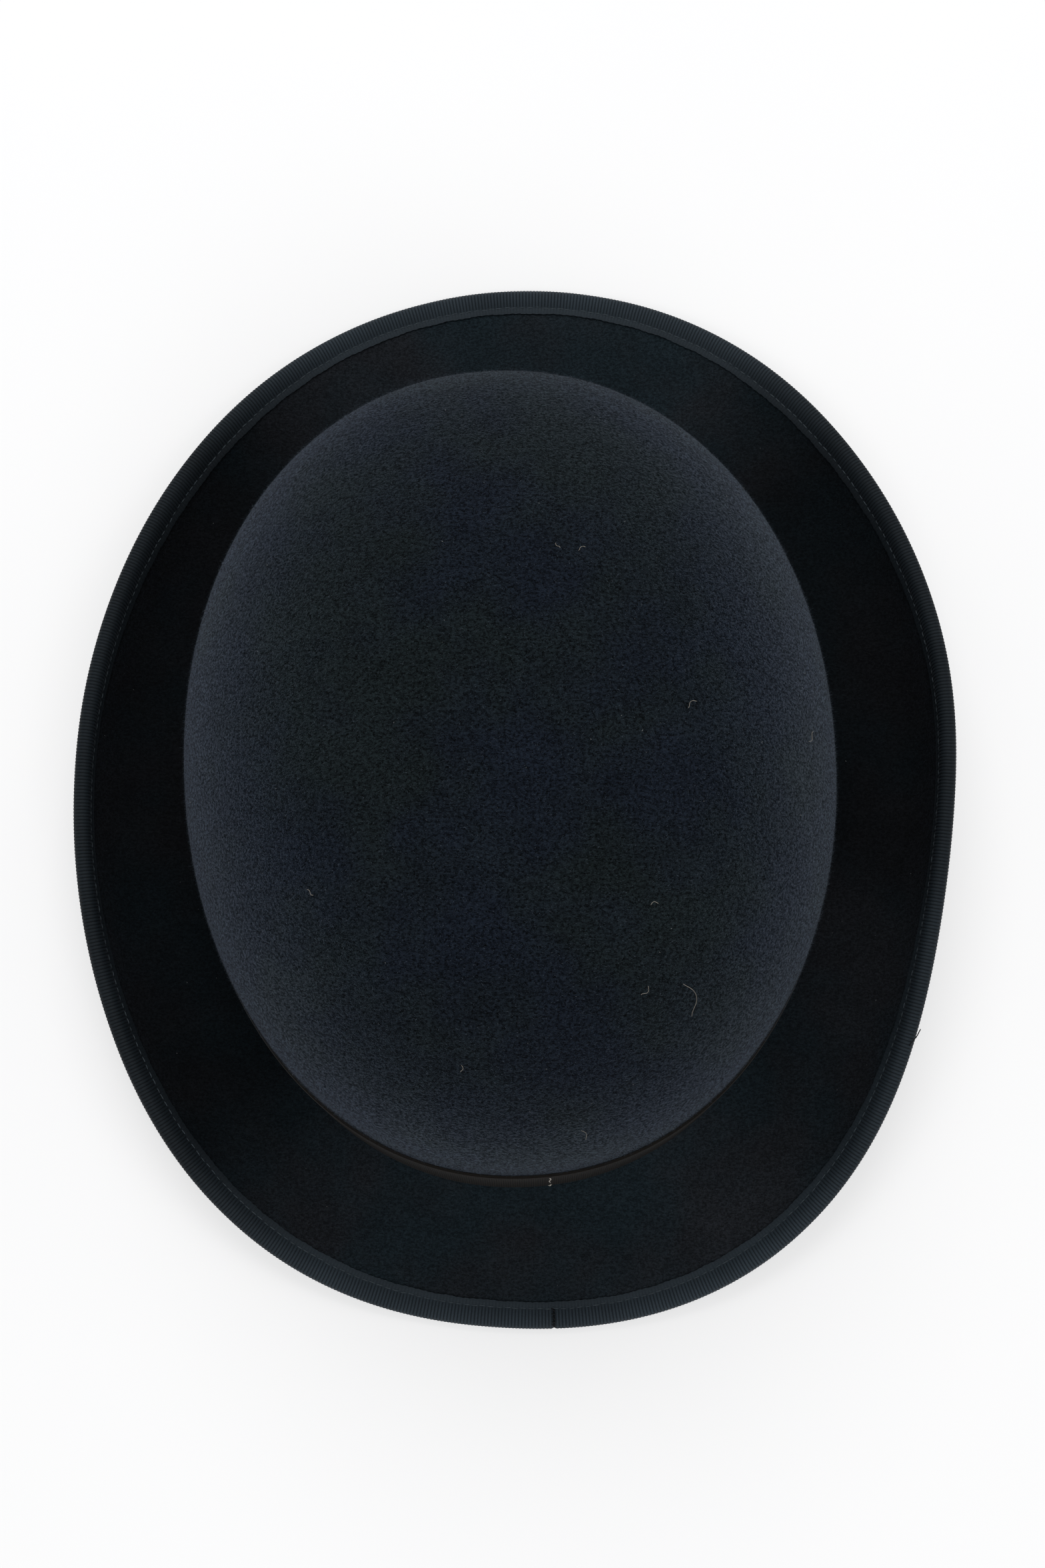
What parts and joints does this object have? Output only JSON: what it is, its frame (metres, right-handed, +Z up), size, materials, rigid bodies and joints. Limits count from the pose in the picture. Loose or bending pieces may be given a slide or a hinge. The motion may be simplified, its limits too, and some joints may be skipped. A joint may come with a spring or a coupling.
{
  "type": "bowler hat",
  "caption": "Round-crowned stiff felt hat with a ribbon-bound brim curled up at the sides, a ribbed band with a flat bow, a leather sweatband and a satin lining.",
  "frame": {"origin": "middle of the hat's box, at the plane that the level front and back of the brim rest on", "axes": "+Z up to the crown's tip, the hat's front faces -Y, the wearer's left and the bow are at +X"},
  "size_m": [0.2454, 0.3026, 0.132],
  "materials": {
    "felt": "brushed wool or fur felt, matte with a faint nap",
    "binding_ribbon": "ribbed grosgrain with a low sheen",
    "band_ribbon": "ribbed grosgrain with a low sheen",
    "sewing_thread": "twisted dark thread",
    "pale_thread": "twisted pale thread",
    "leather": "smooth brown leather, lightly creased",
    "reed": "matte cane",
    "tape": "waxed cotton tape",
    "paper": "uncoated blank paper",
    "satin": "ivory satin",
    "piping": "satin-covered cord",
    "clear_film": "clear glossy film"
  },
  "bodies": {
    "root": {"felt_hood": "felt", "brim_binding": "binding_ribbon", "binding_thread": "sewing_thread", "binding_join_stitch": "sewing_thread", "loose_thread_end": "sewing_thread", "hat_band": "band_ribbon", "band_tack": "pale_thread", "bow_base": "band_ribbon", "bow_loops": "band_ribbon", "bow_knot": "band_ribbon", "sweatband": "leather", "sweatband_reed": "reed", "reed_tape": "tape", "sweatband_thread": "pale_thread", "sweatband_seam": "pale_thread", "sweatband_bow": "binding_ribbon", "size_label": "paper", "lining_side": "satin", "lining_tip": "satin", "lining_piping": "piping", "lining_shield": "clear_film"}
  },
  "joints": []
}
